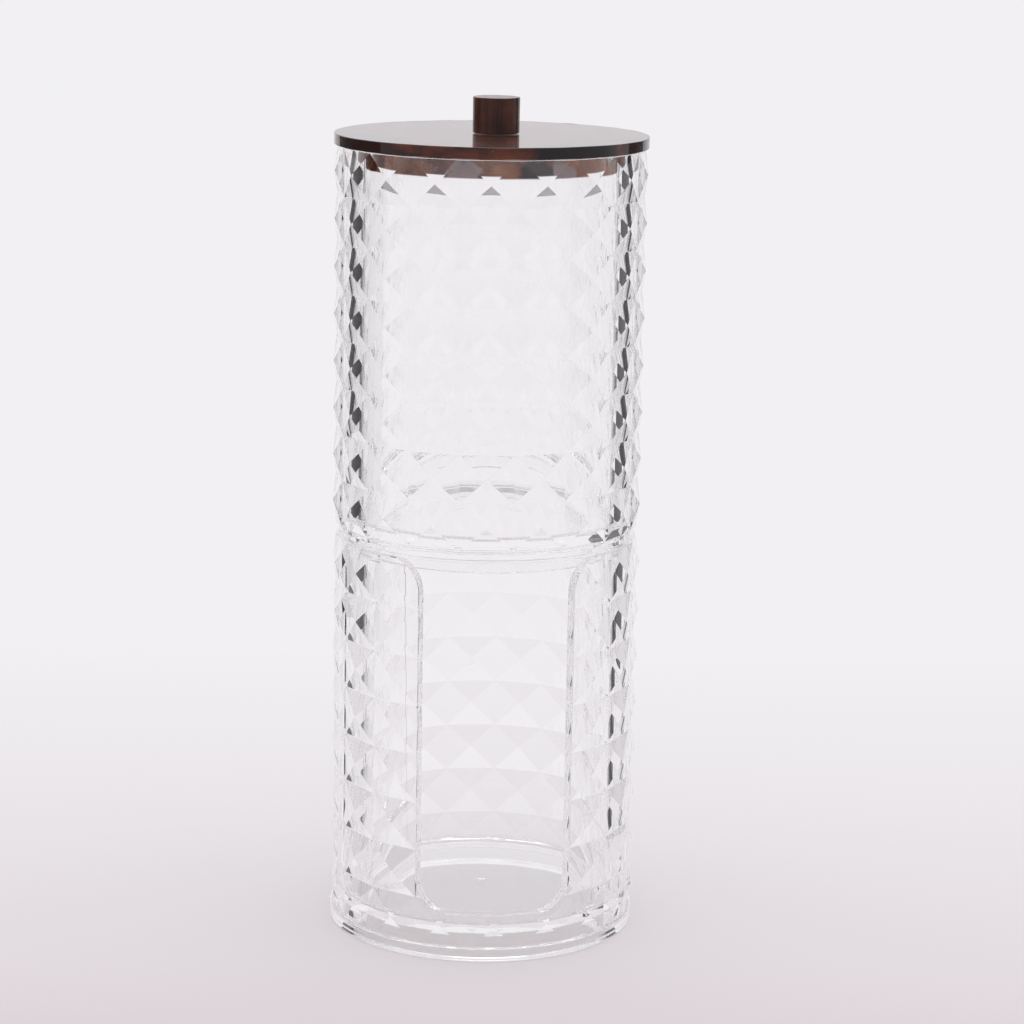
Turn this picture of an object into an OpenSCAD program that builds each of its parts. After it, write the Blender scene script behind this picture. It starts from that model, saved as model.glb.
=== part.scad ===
// Cotton pad organizer: a dispensing cup with a front slot, a storage cup standing
// on it, and a stained wooden lid. The walls of both cups are rows of pyramid studs.
// The slot faces -Y and the foot rests on Z = 0.

/* [Studs] */
// Columns of studs round each cup
stud_cols = 18; // [16:1:22]
// Rows of studs up each cup
stud_rows = 8; // [6:1:10]
// Height of one row on the dispensing cup
lower_stud_h = 12.2; // [10:0.05:14]
// Height of one row on the storage cup
upper_stud_h = 11.75; // [10:0.05:14]
// Radius of the wall at the corners where four studs meet
corner_r = 38; // [36:0.1:42]
// How far a stud's tip stands out beyond those corners
stud_rise = 1; // [0.6:0.1:2]

/* [Cup walls] */
// Wall between the bore and the middle of a stud's base edge
wall_t = 2.2; // [1.6:0.1:3.2]
// Plain band between the top row and the rim's edge
rim_h = 0.2; // [0.2:0.1:3]
// How far the dispensing cup's first row starts below the foot's upper edge
foot_overlap = 0.5; // [0.1:0.1:1]
// Plain band between the shoulder and the storage cup's first row
upper_band_h = 1.1; // [0.2:0.1:2]
// Thickness of each floor
floor_t = 2.2; // [1.6:0.1:4]
// Fillet between a floor and the bore
floor_fillet_r = 1.5; // [0.5:0.25:3]
// Diameter of the gate's mark in the middle of the dispensing cup's floor
gate_d = 2.4; // [1.6:0.1:4]
// Height of that mark
gate_h = 0.3; // [0.2:0.1:0.6]

/* [Foot and joint] */
// How far the plain foot stands out beyond the stud tips
foot_overhang = 0; // [-0.5:0.1:4]
// Height of the plain foot
foot_h = 3.5; // [2.4:0.1:5]
// Rounding of the foot's lower edge
foot_round_r = 0.8; // [0.3:0.1:1.2]
// Depth of the recess under the dispensing cup's floor
recess_h = 6.3; // [3:0.1:8]
// Wall of the skirt round each recess
skirt_t = 2.2; // [1.6:0.1:4]
// How far the storage cup's plain shoulder lies inside the flats of its wall
shoulder_inset = 0.1; // [0.1:0.1:1]
// Height of the shoulder
shoulder_h = 2.1; // [1.5:0.1:4]
// How far the storage cup's skirt reaches down into the cup below
spigot_h = 3; // [2:0.1:5]
// Radial clearance between that skirt and the bore below
spigot_gap = 0.3; // [0.15:0.05:0.6]
// Height of the storage cup's floor above its shoulder's lower edge
upper_floor_z = 5.5; // [4:0.1:9]
// Turn of the storage cup on the dispensing cup, in degrees
upper_turn = -5; // [-9:0.5:9]

/* [Slot] */
// Columns of studs that the slot takes out of the front
slot_cols = 3; // [2:1:4]
// Height of the slot's lower edge above the table
slot_z = 11.9; // [10.8:0.1:20]
// Radius of the slot's lower corners
slot_corner_r = 8.5; // [4:0.5:10]
// Radius of the corners where the slot's sides open out to the rim
slot_lip_r = 8.5; // [4:0.5:10]

/* [Lid] */
// How far the lid's disc stands out beyond the stud tips
lid_overhang = 0; // [-1:0.1:5]
// Thickness of the disc
lid_t = 3; // [2:0.1:6]
// Thickness of the plug under the disc
plug_t = 5; // [3:0.1:10]
// Radial clearance between the plug and the storage cup's bore
plug_gap = 1.4; // [0.5:0.1:3]
// Rounding of the disc's and the plug's edges
lid_round_r = 0.4; // [0.2:0.1:0.8]
// Diameter of the knob
knob_d = 11.8; // [8:0.2:20]
// Height of the knob
knob_h = 9; // [6:0.5:20]
// Rounding of the knob's top edge
knob_round_r = 0.4; // [0.2:0.1:1]
// How far to the right of the disc's middle the knob is glued
knob_shift = 1; // [0:0.1:3]

/* [Hidden] */
$fn = 96;
cut_past = 1;
clear_plastic = [0.84, 0.89, 0.92, 0.5];
dark_walnut = [0.27, 0.14, 0.09];
orange_stain = [0.48, 0.28, 0.15];
column = 360 / stud_cols;
tip_r = corner_r + stud_rise;
flat_r = corner_r * cos(column / 2);
bore_r = flat_r - wall_t;
skirt_r = bore_r - spigot_gap;
recess_r = skirt_r - skirt_t;
foot_r = tip_r + foot_overhang;
shoulder_r = flat_r - shoulder_inset;
lid_r = tip_r + lid_overhang;
plug_r = bore_r - plug_gap;
lower_floor_z = recess_h + floor_t;
lower_studs_z = foot_h - foot_overlap;
lower_h = lower_studs_z + stud_rows * lower_stud_h + rim_h;
upper_studs_z = shoulder_h + upper_band_h;
upper_h = upper_studs_z + stud_rows * upper_stud_h + rim_h;
lid_z = lower_h + upper_h;
slot_half_w = corner_r * PI / 180 * slot_cols * column / 2;
arc_steps = 9;

// Point at radius r and height z, turned by angle from the front towards +X
function at(r, angle, z) = [r * sin(angle), -r * cos(angle), z];

// Angle that a length along the wall takes, at the corners' radius
function along_wall(length) = length / corner_r * 180 / PI;

// Points of an arc in the plane, with both ends
function arc(x, y, r, from, to) =
    [for (i = [0 : arc_steps]) let (a = from + (to - from) * i / arc_steps) [x + r * cos(a), y + r * sin(a)]];

// Solid studded wall: a plain band from z = bottom to studs_z, the rows of pyramids,
// and the plain rim. Its outline is a polygon with a corner between each two columns.
module studded_wall(bottom, studs_z, stud_h) {
    top = studs_z + stud_rows * stud_h;
    rings = concat([bottom], [for (row = [0 : stud_rows]) studs_z + row * stud_h], [top + rim_h]);
    last = len(rings) - 1;
    corners = [for (z = rings, col = [0 : stud_cols - 1]) at(corner_r, (col - 0.5) * column, z)];
    tips = [for (row = [0 : stud_rows - 1], col = [0 : stud_cols - 1])
        at(tip_r, col * column, studs_z + (row + 0.5) * stud_h)];
    function corner(ring, col) = ring * stud_cols + col % stud_cols;
    plain_bands = [for (ring = [0, last - 1], col = [0 : stud_cols - 1])
        [corner(ring, col), corner(ring + 1, col), corner(ring + 1, col + 1), corner(ring, col + 1)]];
    studs = [for (row = [0 : stud_rows - 1], col = [0 : stud_cols - 1])
        let (tip = len(corners) + row * stud_cols + col,
             base = [corner(row + 1, col), corner(row + 2, col),
                     corner(row + 2, col + 1), corner(row + 1, col + 1)])
        for (side = [0 : 3]) [base[side], base[(side + 1) % 4], tip]];
    ends = [[for (col = [0 : stud_cols - 1]) corner(0, col)],
            [for (col = [0 : stud_cols - 1]) corner(last, stud_cols - 1 - col)]];
    polyhedron(points = concat(corners, tips), faces = concat(plain_bands, studs, ends), convexity = 8);
}

// Disc of radius r from z = 0 to h, with a rounded edge at the top and, if asked, below
module rounded_disc(r, h, round_r, round_below = true) {
    rotate_extrude() union() {
        square([r - round_r, h]);
        translate([0, round_below ? round_r : 0]) square([r, h - round_r - (round_below ? round_r : 0)]);
        translate([r - round_r, h - round_r]) circle(r = round_r, $fn = 32);
        if (round_below) translate([r - round_r, round_r]) circle(r = round_r, $fn = 32);
    }
}

// Space inside a cup, open at the top, with a fillet round its floor
module bore(floor_z, top) {
    translate([0, 0, floor_z]) rotate_extrude() union() {
        square([bore_r - floor_fillet_r, top - floor_z]);
        translate([0, floor_fillet_r]) square([bore_r, top - floor_z - floor_fillet_r]);
        translate([bore_r - floor_fillet_r, floor_fillet_r]) circle(r = floor_fillet_r, $fn = 32);
    }
}

// Space that the slot takes: its outline is measured along the wall and up, and runs
// from inside the bore to past the studs, so that every face of the cut is radial
module slot_space() {
    widest = slot_half_w + slot_lip_r;
    right = concat(arc(slot_half_w - slot_corner_r, slot_z + slot_corner_r, slot_corner_r, -90, 0),
                   arc(widest, lower_h - slot_lip_r, slot_lip_r, 180, 90),
                   [[widest, lower_h + cut_past]]);
    count = 2 * len(right);
    outline = concat(right, [for (i = [len(right) - 1 : -1 : 0]) [-right[i][0], right[i][1]]]);
    outer_r = (tip_r + cut_past) / cos(along_wall(widest));
    points = [for (r = [recess_r, outer_r], p = outline) at(r, along_wall(p[0]), p[1])];
    sides = [for (i = [0 : count - 1]) let (j = (i + 1) % count) [i, count + i, count + j, j]];
    inner_end = [for (i = [0 : len(right) - 2]) [i, i + 1, count - 2 - i, count - 1 - i]];
    outer_end = [for (face = inner_end) [for (i = [3 : -1 : 0]) count + face[i]]];
    polyhedron(points = points, faces = concat(sides, inner_end, outer_end), convexity = 4);
}

module lower_cup() {
    color(clear_plastic) difference() {
        union() {
            studded_wall(foot_h / 2, lower_studs_z, lower_stud_h);
            mirror([0, 0, 1]) translate([0, 0, -foot_h])
                rounded_disc(foot_r, foot_h, foot_round_r, round_below = false);
        }
        difference() {
            bore(lower_floor_z, lower_h + cut_past);
            cylinder(d = gate_d, h = lower_floor_z + gate_h);
        }
        translate([0, 0, -cut_past]) cylinder(r = recess_r, h = recess_h + cut_past);
        slot_space();
    }
}

module upper_cup() {
    color(clear_plastic) translate([0, 0, lower_h]) rotate([0, 0, upper_turn]) difference() {
        union() {
            studded_wall(shoulder_h, upper_studs_z, upper_stud_h);
            cylinder(r = shoulder_r, h = shoulder_h);
            translate([0, 0, -spigot_h]) cylinder(r = skirt_r, h = spigot_h + upper_floor_z);
        }
        bore(upper_floor_z, upper_h + cut_past);
        translate([0, 0, -spigot_h - cut_past])
            cylinder(r = recess_r, h = spigot_h + upper_floor_z - floor_t + cut_past);
    }
}

module lid_disc() {
    color(dark_walnut) translate([0, 0, lid_z]) rounded_disc(lid_r, lid_t, lid_round_r);
}

module lid_plug() {
    color(orange_stain) translate([0, 0, lid_z]) mirror([0, 0, 1])
        rounded_disc(plug_r, plug_t, lid_round_r, round_below = false);
}

module lid_knob() {
    color(dark_walnut) translate([knob_shift, 0, lid_z + lid_t])
        rounded_disc(knob_d / 2, knob_h, knob_round_r, round_below = false);
}

lower_cup();
upper_cup();
lid_disc();
lid_plug();
lid_knob();
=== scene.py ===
# Two-tier cotton pad organizer: clear cups with studded walls, the lower one slotted at
# the front for taking pads out, under a stained wooden lid with a dowel knob.
import math

import bmesh
import bpy
from mathutils import Matrix, Vector


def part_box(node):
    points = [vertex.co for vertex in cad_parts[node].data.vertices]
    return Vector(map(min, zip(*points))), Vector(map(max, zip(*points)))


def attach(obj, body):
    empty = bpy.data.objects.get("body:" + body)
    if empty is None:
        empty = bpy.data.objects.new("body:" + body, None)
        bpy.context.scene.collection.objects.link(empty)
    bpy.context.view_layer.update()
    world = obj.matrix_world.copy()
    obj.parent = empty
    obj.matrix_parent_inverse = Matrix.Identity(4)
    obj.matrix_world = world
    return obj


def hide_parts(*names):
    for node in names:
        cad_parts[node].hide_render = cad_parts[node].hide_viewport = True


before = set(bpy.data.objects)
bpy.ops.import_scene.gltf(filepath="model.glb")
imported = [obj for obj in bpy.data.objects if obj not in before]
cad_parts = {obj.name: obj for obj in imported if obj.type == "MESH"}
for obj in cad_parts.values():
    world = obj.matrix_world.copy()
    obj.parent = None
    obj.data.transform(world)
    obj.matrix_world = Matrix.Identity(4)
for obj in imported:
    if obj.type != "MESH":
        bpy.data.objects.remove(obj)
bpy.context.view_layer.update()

bl_info = {
    "name": "Cotton Pad Organizer",
    "version": (1, 0, 0),
    "blender": (4, 5, 0),
    "location": "3D Viewport > Sidebar > Pad Organizer",
    "description": "Models a clear studded cotton pad organizer with a wooden lid, and its studio",
    "category": "Add Mesh",
}

LOWER_LOW, LOWER_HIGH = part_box("lower_cup")
UPPER_LOW, UPPER_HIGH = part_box("upper_cup")
DISC_LOW, DISC_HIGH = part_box("lid_disc")
PLUG_LOW, PLUG_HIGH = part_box("lid_plug")
KNOB_LOW, KNOB_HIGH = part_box("lid_knob")
# Radius of the stud tips: the disc reaches exactly over them
UPPER_TIP = DISC_HIGH.x
# Air left between pieces that rest on each other, so that their clear faces don't coincide
AIR = 0.00004
# How far cutting tools reach past what they cut
PAST = 0.002
# Vertices nearer to each other than this become one after a boolean
MERGE = 0.00001
# Edges flatter than the first angle stay as they are, and edges sharper than the second are rims
SOFT_ANGLE = math.radians(5.5)
RIM_ANGLE = math.radians(45)
# The slot's tool runs from this share of the bore's radius to this share of the stud tips'
SLOT_INSIDE = 0.7
SLOT_OUTSIDE = 1.5
# Light that is guided round inside the clear walls needs this many bounces to get out
BOUNCES = 128
# The photograph's width, in the pixels that the focal length is given in
PHOTO_WIDTH = 1024
# Sockets of the Mix node, whose inputs of different kinds share their names
FLOAT_A, FLOAT_B, FLOAT_MIXED = 2, 3, 0
COLOUR_A, COLOUR_B, COLOUR_MIXED = 6, 7, 2


def length(name, description, default):
    return bpy.props.FloatProperty(name=name, description=description, default=default, unit="LENGTH",
                                   subtype="DISTANCE", precision=5)


def turn(name, description, degrees):
    return bpy.props.FloatProperty(name=name, description=description, default=math.radians(degrees),
                                   unit="ROTATION", subtype="ANGLE")


def tone(name, description, default):
    return bpy.props.FloatVectorProperty(name=name, description=description, default=default, size=4,
                                         min=0, max=1, subtype="COLOR")


class PadCups(bpy.types.PropertyGroup):
    """Sizes and finish of the two clear cups"""
    columns: bpy.props.IntProperty(name="Columns", description="Columns of studs round a cup", default=18, min=8)
    rows: bpy.props.IntProperty(name="Rows", description="Rows of studs up a cup", default=8, min=1)
    corner_radius: length("Corner radius", "Radius where four studs meet", 0.038)
    lower_row: length("Lower row height", "Height of one row on the dispensing cup", 0.0122)
    upper_row: length("Upper row height", "Height of one row on the storage cup", 0.01175)
    rim_band: length("Rim band", "Plain band above the top row", 0.0002)
    wall: length("Wall", "Wall at the middle of a stud's base edge", 0.0022)
    floor: length("Floor", "Thickness of a floor", 0.0022)
    fillet: length("Floor fillet", "Fillet between a floor and the bore", 0.0015)
    foot_height: length("Foot height", "Height of the plain foot", 0.0035)
    foot_rounding: length("Foot rounding", "Rounding of the foot's lower edge", 0.0008)
    recess: length("Recess", "Depth of the recess under the lower floor", 0.0063)
    skirt: length("Skirt", "Wall of the skirt round a recess", 0.0022)
    spigot: length("Spigot", "How far the storage cup reaches into the cup below", 0.003)
    spigot_gap: length("Spigot gap", "Clearance between that skirt and the bore", 0.0003)
    shoulder_height: length("Shoulder height", "Height of the storage cup's shoulder", 0.0021)
    shoulder_inset: length("Shoulder inset", "How far the shoulder lies inside the flats", 0.0001)
    upper_floor: length("Upper floor", "Storage cup's floor above the joint", 0.0055)
    upper_turn: turn("Upper turn", "Turn of the storage cup on the lower one", -5)
    gate_radius: length("Gate radius", "Radius of the gate's mark in the lower floor", 0.0012)
    gate_height: length("Gate height", "Height of the gate's mark", 0.0003)
    slot_columns: bpy.props.IntProperty(name="Slot columns", description="Columns the slot takes", default=3, min=1)
    slot_low: length("Slot's lower edge", "Height of the slot's lower edge", 0.0119)
    slot_corner: length("Slot corners", "Radius of the slot's lower corners", 0.0085)
    slot_lip: length("Slot lips", "Radius where the slot opens out to the rim", 0.0085)
    stud_edge: length("Stud edges", "Width that moulding takes off a stud's edges", 0.00005)
    rim_edge: length("Rim edges", "Rounding of the rims and of the slot", 0.0003)
    plastic: tone("Plastic", "Tint of the clear plastic", (0.997, 0.998, 1.0, 1))
    index: bpy.props.FloatProperty(name="Index", description="Refractive index of the plastic", default=1.57)


class PadLid(bpy.types.PropertyGroup):
    """Sizes and colours of the wooden lid"""
    edge: length("Edge rounding", "Rounding of the disc's and the plug's edges", 0.0003)
    waviness: length("Waviness", "How far the turned surfaces wander", 0.0002)
    dark_stain: tone("Dark stain", "Stain where it lies thick", (0.022, 0.008, 0.006, 1))
    red_stain: tone("Red stain", "Stain where the wood shows through", (0.13, 0.03, 0.012, 1))
    orange_stain: tone("Orange stain", "Thin stain on the plug", (0.50, 0.20, 0.08, 1))
    worn: tone("Worn", "Specks of pale dust and glue in the stain", (0.34, 0.31, 0.30, 1))
    # Black: stain on the disc's rim, and a painted dark reflection in one patch on the plug
    black_stain_and_reflection: tone("Black stain", "Stain where it ran together", (0.008, 0.007, 0.007, 1))
    brown_stain: tone("Brown stain", "Stain of the knob", (0.10, 0.030, 0.017, 1))
    # Grey: painted reflection, pale patches on the plug's front that stand for the shapes the studs show there
    grey_painted_reflection: tone("Grey stain", "Dried glue on the plug", (0.42, 0.34, 0.33, 1))
    ragged: length("Ragged", "How far the edges of patches of stain wander", 0.006)
    bare_wood: tone("Bare wood", "Unstained wood of the plug's underside", (0.86, 0.82, 0.80, 1))


class PadStage(bpy.types.PropertyGroup):
    """The studio: camera, backdrop and floor"""
    distance: length("Camera distance", "From the object's axis to the camera", 0.75685)
    height: length("Camera height", "Height of the camera above the floor", 0.26650)
    around: turn("Around", "How far the camera stands to the left of the slot's middle", 5.05)
    pitch: turn("Pitch", "How far the camera looks down", 11.981)
    yaw: turn("Yaw", "How far the camera looks to the right of the axis", 0.494)
    roll: turn("Roll", "Roll of the camera", 0.995)
    focal: bpy.props.FloatProperty(name="Focal length", description="In pixels of the photograph", default=3061.5)
    backdrop: tone("Backdrop", "Colour of the backdrop", (0.886, 0.871, 0.894, 1))
    # The near floor's colour is painted shade: the floor in front of the object is drawn darker than the backdrop,
    # and the fades below blend this painted shade into the backdrop's colour behind the axis
    shaded_near_floor: tone("Near floor", "Colour of the floor in front of the object", (0.71, 0.64, 0.66, 1))
    fade_start: length("Fade start", "Where the floor starts to fade into the backdrop, behind the axis", -0.09)
    fade_end: length("Fade end", "Where the floor has the backdrop's colour", 0.27)
    fade_bend: bpy.props.FloatProperty(name="Fade bend", description="Below 1, most of the fade is near", default=0.6)


def sizes():
    return bpy.context.scene.pad_cups


def column():
    return 2 * math.pi / sizes().columns


def flat_radius():
    return sizes().corner_radius * math.cos(column() / 2)


def bore_radius():
    return flat_radius() - sizes().wall


def recess_radius():
    return bore_radius() - sizes().spigot_gap - sizes().skirt


def deselect_all():
    bpy.ops.object.select_all(action="DESELECT")


def start_editing(piece):
    """Makes the piece the only one selected and opens it with all of its mesh selected."""
    deselect_all()
    piece.select_set(True)
    bpy.context.view_layer.objects.active = piece
    bpy.ops.object.mode_set(mode="EDIT")
    bpy.ops.mesh.select_mode(type="VERT")
    bpy.ops.mesh.select_all(action="SELECT")


def stop_editing():
    bpy.ops.object.mode_set(mode="OBJECT")


def pick(kind, rule):
    """In edit mode, selects the vertices, edges or faces that meet the rule."""
    bpy.ops.mesh.select_mode(type=kind)
    bpy.ops.mesh.select_all(action="DESELECT")
    mesh = bpy.context.object.data
    shape = bmesh.from_edit_mesh(mesh)
    for part in {"VERT": shape.verts, "EDGE": shape.edges, "FACE": shape.faces}[kind]:
        part.select_set(bool(rule(part)))
    shape.select_flush_mode()
    bmesh.update_edit_mesh(mesh)


def put_modifier(piece, kind, **settings):
    """Adds a modifier with these settings and applies it."""
    deselect_all()
    piece.select_set(True)
    bpy.context.view_layer.objects.active = piece
    bpy.ops.object.modifier_add(type=kind)
    modifier = piece.modifiers[-1]
    for key, value in settings.items():
        setattr(modifier, key, value)
    bpy.ops.object.modifier_apply(modifier=modifier.name)


def combine(piece, tool, operation):
    """Joins the tool to the piece, or cuts it away, and deletes the tool."""
    put_modifier(piece, "BOOLEAN", operation=operation, object=tool, solver="EXACT")
    bpy.data.objects.remove(tool)
    start_editing(piece)
    bpy.ops.mesh.remove_doubles(threshold=MERGE)
    bpy.ops.mesh.dissolve_degenerate(threshold=MERGE)
    stop_editing()


def arc(x, z, radius, start, end, steps=18):
    """Points of an arc in the XZ plane, with both ends. Angles are in degrees."""
    angles = [math.radians(start + (end - start) * i / steps) for i in range(steps + 1)]
    return [(x + radius * math.cos(a), z + radius * math.sin(a)) for a in angles]


def draw(name, points):
    """Draws a line through the points of the XZ plane by extruding a vertex, and leaves it in edit mode."""
    deselect_all()
    bpy.ops.mesh.primitive_plane_add(size=PAST, location=(0, 0, 0))
    piece = bpy.context.object
    piece.name = name
    start_editing(piece)
    bpy.ops.mesh.merge(type="CENTER")
    (x, z) = points[0]
    bpy.ops.transform.translate(value=(x, 0, z))
    for next_x, next_z in points[1:]:
        bpy.ops.mesh.extrude_region_move(TRANSFORM_OT_translate={"value": (next_x - x, 0, next_z - z)})
        x, z = next_x, next_z
    return piece


def lathe(name, points, steps=144):
    """Turns an outline, drawn from the axis back to the axis, into a closed round solid."""
    piece = draw(name, points)
    bpy.ops.mesh.select_all(action="SELECT")
    bpy.ops.mesh.spin(steps=steps, angle=2 * math.pi, center=(0, 0, 0), axis=(0, 0, 1))
    bpy.ops.mesh.select_all(action="SELECT")
    bpy.ops.mesh.remove_doubles(threshold=MERGE / 5)
    bpy.ops.mesh.dissolve_degenerate(threshold=MERGE / 5)
    bpy.ops.mesh.select_all(action="SELECT")
    bpy.ops.mesh.normals_make_consistent(inside=False)
    stop_editing()
    return piece


def studded_wall(name, low, first_row, row):
    """A prism with a corner between each two columns, extruded row by row, whose wall faces are poked out."""
    cups = sizes()
    deselect_all()
    bpy.ops.mesh.primitive_circle_add(vertices=cups.columns, radius=cups.corner_radius, fill_type="NGON",
                                      rotation=(0, 0, column() / 2))
    wall = bpy.context.object
    wall.name = name
    bpy.ops.object.transform_apply(location=True, rotation=True, scale=True)
    start_editing(wall)
    bpy.ops.transform.translate(value=(0, 0, low))
    for height in [first_row - low] + [row] * cups.rows + [cups.rim_band]:
        bpy.ops.mesh.extrude_region_move(TRANSFORM_OT_translate={"value": (0, 0, height)})
    last_row = first_row + cups.rows * row
    pick("FACE", lambda face: abs(face.normal.z) < 0.5 and first_row < face.calc_center_median().z < last_row)
    tip = UPPER_TIP - flat_radius()
    bpy.ops.mesh.poke(offset=tip, use_relative_offset=False, center_mode="MEDIAN")
    bpy.ops.mesh.select_all(action="SELECT")
    bpy.ops.mesh.normals_make_consistent(inside=False)
    stop_editing()
    return wall


def cavity(floor_z, top):
    """The space inside a cup, with a fillet round its floor."""
    fillet = sizes().fillet
    radius = bore_radius()
    outline = [(0, floor_z)] + arc(radius - fillet, floor_z + fillet, fillet, -90, 0) + [(radius, top), (0, top)]
    return lathe("cavity", outline)


def plain_tool(radius, low, high):
    return lathe("plain_tool", [(0, low), (radius, low), (radius, high), (0, high)])


def slot_tool(top):
    """The slot's outline, drawn flat and measured along the wall, then made thick and wrapped round the axis."""
    cups = sizes()
    half = cups.corner_radius * cups.slot_columns * column() / 2
    wide = half + cups.slot_lip
    low = cups.slot_low
    tool = draw("slot_tool", [(-half, low), (half, low), (half, top), (wide, top), (wide, top + PAST),
                              (-wide, top + PAST), (-wide, top), (-half, top)])
    bpy.ops.mesh.select_all(action="SELECT")
    bpy.ops.mesh.edge_face_add()
    pick("VERT", lambda v: abs(v.co.z - low) < AIR)
    bpy.ops.mesh.bevel(offset=cups.slot_corner, segments=20, affect="VERTICES", clamp_overlap=False)
    pick("VERT", lambda v: abs(v.co.z - top) < AIR and abs(abs(v.co.x) - half) < AIR)
    bpy.ops.mesh.bevel(offset=cups.slot_lip, segments=20, affect="VERTICES", clamp_overlap=False)
    bpy.ops.mesh.select_all(action="SELECT")
    bpy.ops.mesh.remove_doubles(threshold=2 * MERGE)
    bpy.ops.mesh.select_all(action="SELECT")
    inner = bore_radius() * SLOT_INSIDE
    outer = UPPER_TIP * SLOT_OUTSIDE
    bpy.ops.transform.translate(value=(0, -inner, 0))
    bpy.ops.mesh.extrude_region_move(TRANSFORM_OT_translate={"value": (0, inner - outer, 0)})
    bpy.ops.mesh.select_all(action="SELECT")
    bpy.ops.mesh.quads_convert_to_tris()
    bpy.ops.mesh.normals_make_consistent(inside=False)
    stop_editing()
    for vertex in tool.data.vertices:
        along, radius = vertex.co.x / cups.corner_radius, -vertex.co.y
        vertex.co.x = radius * math.sin(along)
        vertex.co.y = -radius * math.cos(along)
    return tool


def round_edges(piece, sharp_z=None):
    """Rounds the edges: a little along the studs, more at rims and the slot, most under the foot.

    The narrow overhang at height sharp_z keeps its edges."""
    cups = sizes()
    widest = cups.foot_rounding
    start_editing(piece)
    bpy.ops.mesh.select_mode(type="EDGE")
    bpy.ops.mesh.select_all(action="DESELECT")
    bpy.ops.mesh.edges_select_sharp(sharpness=SOFT_ANGLE)
    shape = bmesh.from_edit_mesh(piece.data)
    weight = shape.edges.layers.float.new("bevel_weight_edge")
    for edge in shape.edges:
        if not edge.select or len(edge.link_faces) != 2:
            continue
        (a, b) = edge.verts
        if sharp_z and abs(a.co.z - sharp_z) < AIR and abs(b.co.z - sharp_z) < AIR:
            continue
        width = cups.rim_edge if edge.calc_face_angle() > RIM_ANGLE else cups.stud_edge
        if max(a.co.xy.length, b.co.xy.length) < 2 * cups.gate_radius:
            width = cups.stud_edge
        if max(a.co.z, b.co.z) < LOWER_LOW.z + AIR and a.co.xy.length > flat_radius():
            width = widest
        edge[weight] = width / widest
    bmesh.update_edit_mesh(piece.data)
    stop_editing()
    put_modifier(piece, "BEVEL", width=widest, segments=3, limit_method="WEIGHT", use_clamp_overlap=False,
                 miter_outer="MITER_SHARP", offset_type="OFFSET")
    bpy.ops.object.shade_smooth()
    put_modifier(piece, "WEIGHTED_NORMAL", weight=90, keep_sharp=False, mode="FACE_AREA")


def dress(piece, material, node):
    """Gives the piece its material and its slot, and lets it stand for its CAD node."""
    piece.data.materials.clear()
    piece.data.materials.append(material)
    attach(piece, "root")
    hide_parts(node)


def new_material(name):
    """A material with an emptied tree, its Principled shader and its output."""
    material = bpy.data.materials.new(name)
    material.use_nodes = True
    tree = material.node_tree
    return material, tree, tree.nodes["Principled BSDF"]


def node_of(tree, kind, inputs=None, **settings):
    """A node with its settings, and with values or links for its input sockets."""
    node = tree.nodes.new(kind)
    for key, value in settings.items():
        setattr(node, key, value)
    for key, value in (inputs or {}).items():
        if isinstance(value, bpy.types.NodeSocket):
            tree.links.new(value, node.inputs[key])
        else:
            node.inputs[key].default_value = value
    return node


def mix_colours(tree, factor, under, over):
    """A colour that turns from under to over as the factor rises. Both are colours or sockets."""
    mix = node_of(tree, "ShaderNodeMix", {"Factor": factor, COLOUR_A: under, COLOUR_B: over}, data_type="RGBA")
    return mix.outputs[COLOUR_MIXED]


def clear_plastic():
    """Clear moulded plastic: a polished dielectric with a faint waviness from the mould."""
    material, tree, shader = new_material("clear_plastic")
    cups = sizes()
    place = node_of(tree, "ShaderNodeTexCoord")
    waves = node_of(tree, "ShaderNodeTexNoise", {"Vector": place.outputs["Object"], "Scale": 60.0, "Detail": 1.0})
    bump = node_of(tree, "ShaderNodeBump", {"Height": waves.outputs["Fac"], "Strength": 0.02, "Distance": 0.001})
    haze = node_of(tree, "ShaderNodeMapRange",
                   {"Value": waves.outputs["Fac"], "From Min": 0.3, "From Max": 0.7, "To Min": 0.0, "To Max": 0.008})
    tree.links.new(bump.outputs["Normal"], shader.inputs["Normal"])
    tree.links.new(haze.outputs["Result"], shader.inputs["Roughness"])
    shader.inputs["Base Color"].default_value = cups.plastic
    shader.inputs["IOR"].default_value = cups.index
    shader.inputs["Transmission Weight"].default_value = 1
    return material


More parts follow.
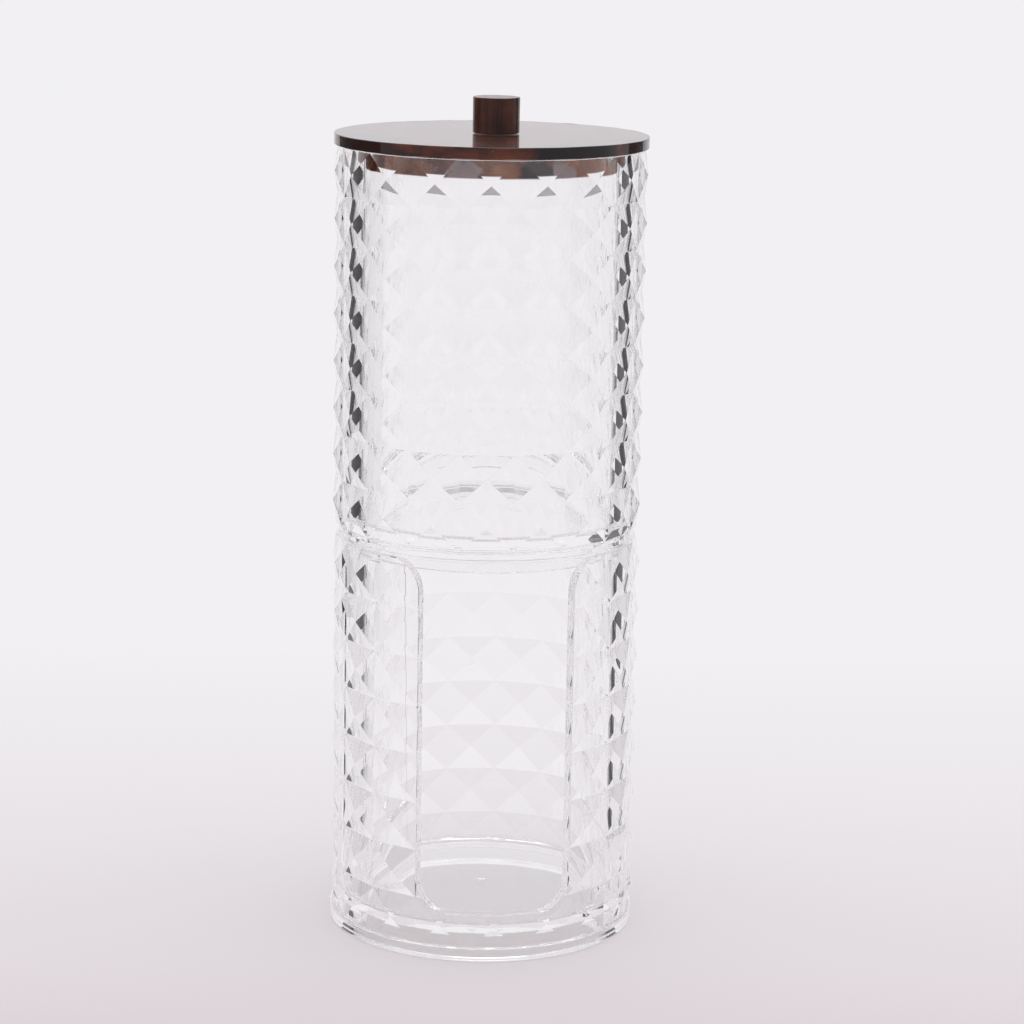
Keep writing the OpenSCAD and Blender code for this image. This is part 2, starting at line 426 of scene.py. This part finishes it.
def grain_group():
    """Wood grain along Z: streaks and pores as a factor, a mottle, and a height."""
    group = bpy.data.node_groups.new("wood_grain", "ShaderNodeTree")
    for name, kind, default in (("Vector", "NodeSocketVector", None), ("Fineness", "NodeSocketFloat", 400.0),
                                ("Stretch", "NodeSocketFloat", 0.06)):
        socket = group.interface.new_socket(name, in_out="INPUT", socket_type=kind)
        if default is not None:
            socket.default_value = default
    for name in ("Streaks", "Mottle", "Height"):
        group.interface.new_socket(name, in_out="OUTPUT", socket_type="NodeSocketFloat")
    into = node_of(group, "NodeGroupInput")
    out = node_of(group, "NodeGroupOutput")
    along = node_of(group, "ShaderNodeCombineXYZ", {"X": 1.0, "Y": 1.0, "Z": into.outputs["Stretch"]})
    squeezed = node_of(group, "ShaderNodeVectorMath",
                       {0: into.outputs["Vector"], 1: along.outputs["Vector"]}, operation="MULTIPLY")
    streaks = node_of(group, "ShaderNodeTexNoise", {"Vector": squeezed.outputs["Vector"],
                      "Scale": into.outputs["Fineness"], "Detail": 6.0, "Roughness": 0.65, "Distortion": 0.4})
    mottle = node_of(group, "ShaderNodeTexNoise",
                     {"Vector": into.outputs["Vector"], "Scale": 110.0, "Detail": 3.0, "Roughness": 0.55})
    pores = node_of(group, "ShaderNodeTexNoise",
                    {"Vector": squeezed.outputs["Vector"], "Scale": 2600.0, "Detail": 2.0})
    depth = node_of(group, "ShaderNodeMath", {0: streaks.outputs["Fac"], 1: pores.outputs["Fac"]}, operation="ADD")
    group.links.new(streaks.outputs["Fac"], out.inputs["Streaks"])
    group.links.new(mottle.outputs["Fac"], out.inputs["Mottle"])
    group.links.new(depth.outputs["Value"], out.inputs["Height"])
    return group


def patch(tree, under, ragged, centre, radius, colour):
    """Lays a ragged patch of another colour round a point over the colour under it: a stain on the disc, a painted
    reflection on the plug.
    """
    away = node_of(tree, "ShaderNodeVectorMath", {0: ragged, 1: centre}, operation="DISTANCE")
    cover = node_of(tree, "ShaderNodeMapRange", {"Value": away.outputs["Value"], "From Min": radius,
                                                 "From Max": radius * 0.8})
    return mix_colours(tree, cover.outputs["Result"], under, colour)


def stained_wood(name, dark, light, turned=(0, 0, 0), mottled=0.5, coat=1.0, worn=0.62, patches=(),
                 bare_below=None):
    """Stained wood under lacquer. The stain runs from dark to light along the grain and in blotches,
    and pale specks show where their noise rises above worn.

    Each patch is a centre, a radius and a colour. Faces below the height bare_below are left bare."""
    lid = bpy.context.scene.pad_lid
    material, tree, shader = new_material(name)
    group = bpy.data.node_groups.get("wood_grain") or grain_group()
    place = node_of(tree, "ShaderNodeTexCoord")
    turned_to = node_of(tree, "ShaderNodeMapping", {"Vector": place.outputs["Object"], "Rotation": turned})
    grain = node_of(tree, "ShaderNodeGroup", node_tree=group)
    tree.links.new(turned_to.outputs["Vector"], grain.inputs["Vector"])
    both = node_of(tree, "ShaderNodeMix", {"Factor": mottled, FLOAT_A: grain.outputs["Streaks"],
                                           FLOAT_B: grain.outputs["Mottle"]}, data_type="FLOAT")
    ramp = node_of(tree, "ShaderNodeValToRGB", {"Fac": both.outputs[FLOAT_MIXED]})
    ramp.color_ramp.elements[0].position = 0.40
    ramp.color_ramp.elements[0].color = dark
    ramp.color_ramp.elements[1].position = 0.60
    ramp.color_ramp.elements[1].color = light
    dust = node_of(tree, "ShaderNodeTexNoise", {"Vector": place.outputs["Object"], "Scale": 150.0, "Detail": 9.0,
                                                "Roughness": 0.8})
    specks = node_of(tree, "ShaderNodeMapRange", {"Value": dust.outputs["Fac"], "From Min": worn,
                                                  "From Max": worn + 0.06})
    shift = node_of(tree, "ShaderNodeTexNoise", {"Vector": place.outputs["Object"], "Scale": 300.0, "Detail": 4.0})
    spread = node_of(tree, "ShaderNodeVectorMath", {0: shift.outputs["Color"], 1: (lid.ragged,) * 3,
                                                    2: (-lid.ragged / 2,) * 3}, operation="MULTIPLY_ADD")
    ragged = node_of(tree, "ShaderNodeVectorMath", {0: place.outputs["Object"], 1: spread.outputs["Vector"]})
    stain = ramp.outputs["Color"]
    for centre, radius, patch_colour in patches:
        stain = patch(tree, stain, ragged.outputs["Vector"], centre, radius, patch_colour)
    colour = mix_colours(tree, specks.outputs["Result"], stain, lid.worn)
    if bare_below is not None:
        height = node_of(tree, "ShaderNodeSeparateXYZ", {"Vector": place.outputs["Object"]})
        below = node_of(tree, "ShaderNodeMath", {0: height.outputs["Z"], 1: bare_below}, operation="LESS_THAN")
        colour = mix_colours(tree, below.outputs["Value"], colour, lid.bare_wood)
    bump = node_of(tree, "ShaderNodeBump", {"Height": grain.outputs["Height"], "Strength": 0.4, "Distance": 0.0002})
    gloss = node_of(tree, "ShaderNodeMapRange", {"Value": grain.outputs["Streaks"], "From Min": 0.3, "From Max": 0.7,
                                                 "To Min": 0.3, "To Max": 0.5})
    tree.links.new(colour, shader.inputs["Base Color"])
    tree.links.new(gloss.outputs["Result"], shader.inputs["Roughness"])
    tree.links.new(bump.outputs["Normal"], shader.inputs["Normal"])
    shader.inputs["Specular IOR Level"].default_value = 0.1
    shader.inputs["Coat Weight"].default_value = coat
    shader.inputs["Coat Roughness"].default_value = 0.06
    shader.inputs["Coat IOR"].default_value = 1.36
    return material


class PADS_OT_lower_cup(bpy.types.Operator):
    """Moulds the dispensing cup: studded wall, round foot, recess, floor and slot"""
    bl_idname = "pads.lower_cup"
    bl_label = "Dispensing Cup"

    def execute(self, context):
        cups = sizes()
        top = LOWER_HIGH.z - AIR
        floor_z = cups.recess + cups.floor
        first_row = LOWER_HIGH.z - cups.rim_band - cups.rows * cups.lower_row
        cup = studded_wall("dispensing_cup", cups.foot_height / 2, first_row, cups.lower_row)
        foot = plain_tool(LOWER_HIGH.x, LOWER_LOW.z, cups.foot_height)
        combine(cup, foot, "UNION")
        combine(cup, cavity(floor_z, top + 2 * PAST), "DIFFERENCE")
        combine(cup, plain_tool(recess_radius(), LOWER_LOW.z - PAST, cups.recess), "DIFFERENCE")
        combine(cup, slot_tool(top), "DIFFERENCE")
        gate = plain_tool(cups.gate_radius, floor_z - cups.floor / 2, floor_z + cups.gate_height)
        combine(cup, gate, "UNION")
        round_edges(cup)
        dress(cup, clear_plastic(), "lower_cup")
        return {"FINISHED"}


class PADS_OT_upper_cup(bpy.types.Operator):
    """Moulds the storage cup: studded wall, plain shoulder, skirt and floor"""
    bl_idname = "pads.upper_cup"
    bl_label = "Storage Cup"

    def execute(self, context):
        cups = sizes()
        joint = UPPER_LOW.z + cups.spigot
        top = UPPER_HIGH.z - AIR
        first_row = UPPER_HIGH.z - cups.rim_band - cups.rows * cups.upper_row
        floor_z = joint + cups.upper_floor
        cup = studded_wall("storage_cup", joint + cups.shoulder_height, first_row, cups.upper_row)
        shoulder = flat_radius() - cups.shoulder_inset
        skirt = bore_radius() - cups.spigot_gap
        inside_wall = joint + cups.shoulder_height + PAST / 4
        base = lathe("shoulder", [(0, UPPER_LOW.z), (skirt, UPPER_LOW.z), (skirt, joint), (shoulder, joint),
                                  (shoulder, inside_wall), (0, inside_wall)])
        combine(cup, base, "UNION")
        combine(cup, cavity(floor_z, top + 2 * PAST), "DIFFERENCE")
        combine(cup, plain_tool(recess_radius(), UPPER_LOW.z - PAST, floor_z - cups.floor), "DIFFERENCE")
        start_editing(cup)
        bpy.ops.transform.rotate(value=-cups.upper_turn, orient_axis="Z", center_override=(0, 0, 0))
        stop_editing()
        round_edges(cup, joint + cups.shoulder_height)
        dress(cup, clear_plastic(), "upper_cup")
        return {"FINISHED"}


class PADS_OT_lid(bpy.types.Operator):
    """Turns the lid: a disc, the plug glued under it and the dowel knob glued on top"""
    bl_idname = "pads.lid"
    bl_label = "Wooden Lid"

    def turned_piece(self, name, low, high):
        """A cylinder that fills the piece's box, with rounded edges and sides that wander slightly inward."""
        lid = bpy.context.scene.pad_lid
        radius = (high.x - low.x) / 2
        middle = (high.x + low.x) / 2
        deselect_all()
        bpy.ops.mesh.primitive_cylinder_add(vertices=160, radius=radius, depth=high.z - low.z,
                                            location=(middle, 0, (low.z + high.z) / 2))
        piece = bpy.context.object
        piece.name = name
        bpy.ops.object.transform_apply(location=True, rotation=True, scale=True)
        start_editing(piece)
        bpy.ops.mesh.select_mode(type="EDGE")
        bpy.ops.mesh.select_all(action="DESELECT")
        bpy.ops.mesh.edges_select_sharp(sharpness=RIM_ANGLE)
        bpy.ops.mesh.bevel(offset=lid.edge, segments=4)
        stop_editing()
        clouds = bpy.data.textures.new("wander", "CLOUDS")
        clouds.noise_scale = 0.006
        put_modifier(piece, "DISPLACE", texture=clouds, strength=lid.waviness, mid_level=1, direction="NORMAL")
        bpy.ops.object.shade_smooth()
        put_modifier(piece, "WEIGHTED_NORMAL", weight=90, keep_sharp=False)
        return piece

    def execute(self, context):
        lid = context.scene.pad_lid
        disc = self.turned_piece("lid_board", DISC_LOW, DISC_HIGH)
        plug = self.turned_piece("lid_stopper", PLUG_LOW, PLUG_HIGH)
        knob = self.turned_piece("lid_dowel", KNOB_LOW, KNOB_HIGH)
        across = (0, math.pi / 2, 0)
        rim, side = DISC_LOW.y, PLUG_LOW.y
        disc_patches = (((0.020, rim, DISC_LOW.z), 0.015, lid.black_stain_and_reflection),
                        ((-0.036, rim / 2, DISC_LOW.z), 0.016, lid.dark_stain),
                        ((0.038, rim / 2, DISC_LOW.z), 0.012, lid.dark_stain))
        # On the plug, the grey and black patches are painted reflections: the pale and dark shapes that the studs
        # show in front of its lower edge
        plug_painted_reflections = (((-0.010, side, PLUG_LOW.z), 0.005, lid.grey_painted_reflection),
                        ((0.015, side, PLUG_LOW.z), 0.006, lid.grey_painted_reflection),
                        ((0.008, side, PLUG_LOW.z), 0.005, lid.black_stain_and_reflection))
        dress(disc, stained_wood("disc_wood", lid.dark_stain, lid.red_stain, across, patches=disc_patches),
              "lid_disc")
        dress(plug, stained_wood("plug_wood", lid.red_stain, lid.orange_stain, across, 0.8, 0.0, 0.60, plug_painted_reflections,
                                 PLUG_LOW.z + lid.edge), "lid_plug")
        dress(knob, stained_wood("knob_wood", lid.dark_stain, lid.brown_stain, coat=0.6, worn=0.68),
              "lid_knob")
        return {"FINISHED"}


class PADS_OT_stage(bpy.types.Operator):
    """Sets up the studio: pale floor and surroundings, dark flags at the sides, a lamp and the camera"""
    bl_idname = "pads.stage"
    bl_label = "Studio"
    # Each flag's two floor points, turned with the camera, and its height
    LEFT_FLAG = ((-0.233, 0.276), (-0.348, -0.038), 0.23)
    RIGHT_FLAG = ((0.192, 0.190), (0.288, 0.110), 0.375)
    # The lamp's place, turned with the camera, its diameter and its watts
    OVERHEAD_LAMP = ((0.1, -0.1, 1.3), 1.6, 8)
    # Where the lamp is aimed: the organizer's middle
    AIM = (0, 0, 0.1)
    FLOOR_RADIUS = 4
    # How far the floor lies under the foot
    FLOOR_DROP = 0.00005

    def floor(self, stage):
        deselect_all()
        bpy.ops.mesh.primitive_circle_add(vertices=96, radius=self.FLOOR_RADIUS, fill_type="NGON",
                                          location=(0, 0, -self.FLOOR_DROP))
        floor = bpy.context.object
        floor.name = "floor"
        bpy.ops.object.transform_apply(location=True)
        material, tree, shader = new_material("pale_floor")
        place = node_of(tree, "ShaderNodeTexCoord")
        # Painted shade: the floor's colour is darker in front of the object and fades into the backdrop's colour
        # behind the axis
        behind = node_of(tree, "ShaderNodeVectorMath",
                         {0: place.outputs["Object"], 1: self.around @ Vector((0, 1, 0))}, operation="DOT_PRODUCT")
        fade = node_of(tree, "ShaderNodeMapRange", {"Value": behind.outputs["Value"], "From Min": stage.fade_start,
                                                    "From Max": stage.fade_end})
        curve = node_of(tree, "ShaderNodeMath", {0: fade.outputs["Result"], 1: stage.fade_bend}, operation="POWER")
        colour = mix_colours(tree, curve.outputs["Value"], stage.shaded_near_floor, stage.backdrop)
        tree.links.new(colour, shader.inputs["Base Color"])
        shader.inputs["Roughness"].default_value = 0.7
        shader.inputs["Specular IOR Level"].default_value = 0.2
        # Painted light: the floor also glows with its own colour, so it stays bright where the lamp and the world
        # don't reach. The glow's share is 0.6 in front, rising to all of it behind, so only the lit share keeps the
        # object's shadow
        plain = node_of(tree, "ShaderNodeEmission", {"Color": colour, "Strength": 1.0})
        glow_share = node_of(tree, "ShaderNodeMapRange", {"Value": fade.outputs["Result"], "From Min": 0.3,
                                                      "From Max": 1.0, "To Min": 0.6, "To Max": 1.0})
        mix = node_of(tree, "ShaderNodeMixShader",
                      {0: glow_share.outputs["Result"], 1: shader.outputs["BSDF"], 2: plain.outputs["Emission"]})
        tree.links.new(mix.outputs["Shader"], tree.nodes["Material Output"].inputs["Surface"])
        floor.data.materials.append(material)

    def flag(self, name, near, far, height):
        """An upright dark flag from one floor point to another, seen only in reflections and through the cups."""
        deselect_all()
        bpy.ops.mesh.primitive_plane_add(size=1)
        flag = bpy.context.object
        flag.name = name
        corners = ((*near, 0), (*far, 0), (*near, height), (*far, height))
        for vertex, corner in zip(flag.data.vertices, corners):
            vertex.co = self.around @ Vector(corner)
        material, tree, shader = new_material(name)
        shader.inputs["Base Color"].default_value = (0.012, 0.012, 0.013, 1)
        shader.inputs["Roughness"].default_value = 0.8
        flag.data.materials.append(material)
        flag.visible_camera = False
        flag.visible_diffuse = False
        flag.visible_shadow = False

    def lamp(self, name, place, size, power):
        deselect_all()
        bpy.ops.object.light_add(type="AREA", location=self.around @ Vector(place))
        lamp = bpy.context.object
        lamp.name = name
        lamp.data.shape = "DISK"
        lamp.data.size = size
        lamp.data.energy = power
        aim = Vector(self.AIM) - lamp.location
        lamp.rotation_euler = aim.to_track_quat("-Z", "Y").to_euler()

    def world(self, stage):
        """Every ray that shows the backdrop meets its colour, and the rest meet a plain soft light."""
        world = bpy.data.worlds.new("studio")
        bpy.context.scene.world = world
        world.use_nodes = True
        tree = world.node_tree
        soft = tree.nodes["Background"]
        soft.inputs["Color"].default_value = (0.95, 0.95, 1.0, 1)
        soft.inputs["Strength"].default_value = 0.75
        path = node_of(tree, "ShaderNodeLightPath")
        seen = node_of(tree, "ShaderNodeMath", {0: path.outputs["Is Camera Ray"], 1: path.outputs["Is Glossy Ray"]},
                       operation="MAXIMUM")
        shown = node_of(tree, "ShaderNodeMath", {0: seen.outputs["Value"], 1: path.outputs["Is Transmission Ray"]},
                        operation="MAXIMUM")
        backdrop = node_of(tree, "ShaderNodeBackground", {"Color": stage.backdrop, "Strength": 1.0})
        mix = node_of(tree, "ShaderNodeMixShader", {0: shown.outputs["Value"], 1: soft.outputs["Background"],
                                                    2: backdrop.outputs["Background"]})
        tree.links.new(mix.outputs["Shader"], tree.nodes["World Output"].inputs["Surface"])

    def camera(self, stage):
        bpy.ops.object.camera_add()
        camera = bpy.context.object
        camera.data.sensor_width = 36
        camera.data.lens = stage.focal / PHOTO_WIDTH * camera.data.sensor_width
        camera.data.clip_start = 0.01
        camera.matrix_world = (
            self.around.to_4x4() @ Matrix.Translation((0, -stage.distance, stage.height))
            @ Matrix.Rotation(-stage.yaw, 4, "Z") @ Matrix.Rotation(math.pi / 2 - stage.pitch, 4, "X")
            @ Matrix.Rotation(stage.roll, 4, "Z"))
        bpy.context.scene.camera = camera

    def execute(self, context):
        stage = context.scene.pad_stage
        self.around = Matrix.Rotation(-stage.around, 3, "Z")
        context.scene.view_settings.view_transform = "Standard"
        light_paths = context.scene.cycles
        light_paths.max_bounces = BOUNCES
        light_paths.glossy_bounces = BOUNCES
        light_paths.transmission_bounces = BOUNCES
        self.world(stage)
        self.floor(stage)
        self.flag("left_flag", *self.LEFT_FLAG)
        self.flag("right_flag", *self.RIGHT_FLAG)
        self.lamp("overhead_lamp", *self.OVERHEAD_LAMP)
        self.camera(stage)
        return {"FINISHED"}


class PADS_PT_panel(bpy.types.Panel):
    """Lists the steps that make the organizer and its studio"""
    bl_label = "Pad Organizer"
    bl_idname = "PADS_PT_panel"
    bl_space_type = "VIEW_3D"
    bl_region_type = "UI"
    bl_category = "Pad Organizer"

    def draw(self, context):
        for step in STEPS:
            self.layout.operator(step.bl_idname)


STEPS = (PADS_OT_stage, PADS_OT_lower_cup, PADS_OT_upper_cup, PADS_OT_lid)
GROUPS = {"pad_cups": PadCups, "pad_lid": PadLid, "pad_stage": PadStage}


def register():
    for group in GROUPS.values():
        bpy.utils.register_class(group)
    for name, group in GROUPS.items():
        setattr(bpy.types.Scene, name, bpy.props.PointerProperty(type=group))
    for step in STEPS:
        bpy.utils.register_class(step)
    bpy.utils.register_class(PADS_PT_panel)


def unregister():
    bpy.utils.unregister_class(PADS_PT_panel)
    for step in reversed(STEPS):
        bpy.utils.unregister_class(step)
    for name, group in GROUPS.items():
        delattr(bpy.types.Scene, name)
        bpy.utils.unregister_class(group)


def main():
    register()
    bpy.ops.pads.stage()
    bpy.ops.pads.lower_cup()
    bpy.ops.pads.upper_cup()
    bpy.ops.pads.lid()


if __name__ == "__main__":
    main()
